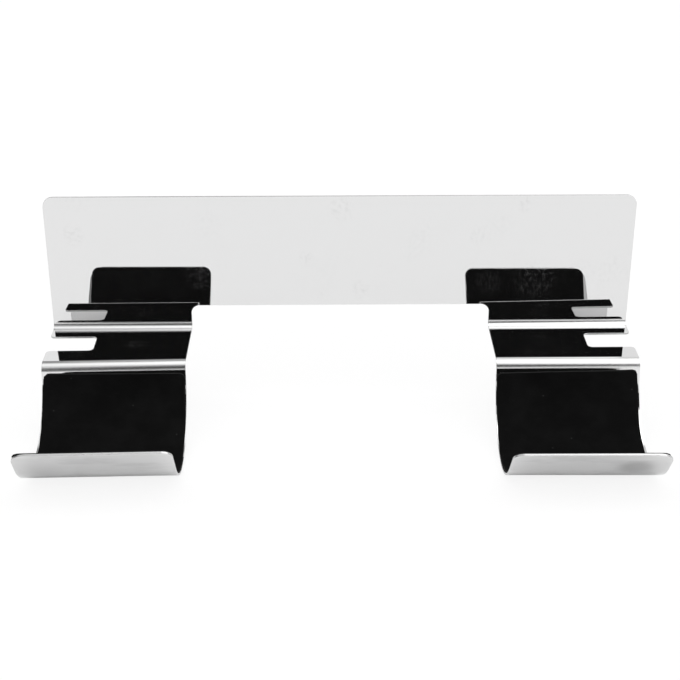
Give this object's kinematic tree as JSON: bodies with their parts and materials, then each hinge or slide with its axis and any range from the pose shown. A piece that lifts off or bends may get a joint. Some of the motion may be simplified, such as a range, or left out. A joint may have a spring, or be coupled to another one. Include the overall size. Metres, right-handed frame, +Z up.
{
  "type": "hair tool holder",
  "caption": "Wall-mounted holder bent from one polished steel sheet, with a padded cradle and a slotted shelf at each end, for hair tools and their cords.",
  "frame": {"origin": "centre of the middle tape strip's wall face, which is the wall's plane at half the height of the plate's middle span", "axes": "+X along the plate, +Y into the wall, +Z up; the front, with the cradles, faces -Y"},
  "size_m": [0.317, 0.1243, 0.1177],
  "materials": {
    "polished_steel": "mirror-polished stainless steel sheet, 1 mm, both faces",
    "black_foam": "matte black self-adhesive foam sheet",
    "clear_gel": "clear double-sided gel tape, slightly cloudy"
  },
  "bodies": {
    "root": {"bracket": "polished_steel", "cradle_pad_left": "black_foam", "cradle_pad_right": "black_foam", "mounting_tape_1": "clear_gel", "mounting_tape_2": "clear_gel", "mounting_tape_3": "clear_gel", "mounting_tape_4": "clear_gel", "mounting_tape_5": "clear_gel"}
  },
  "joints": []
}
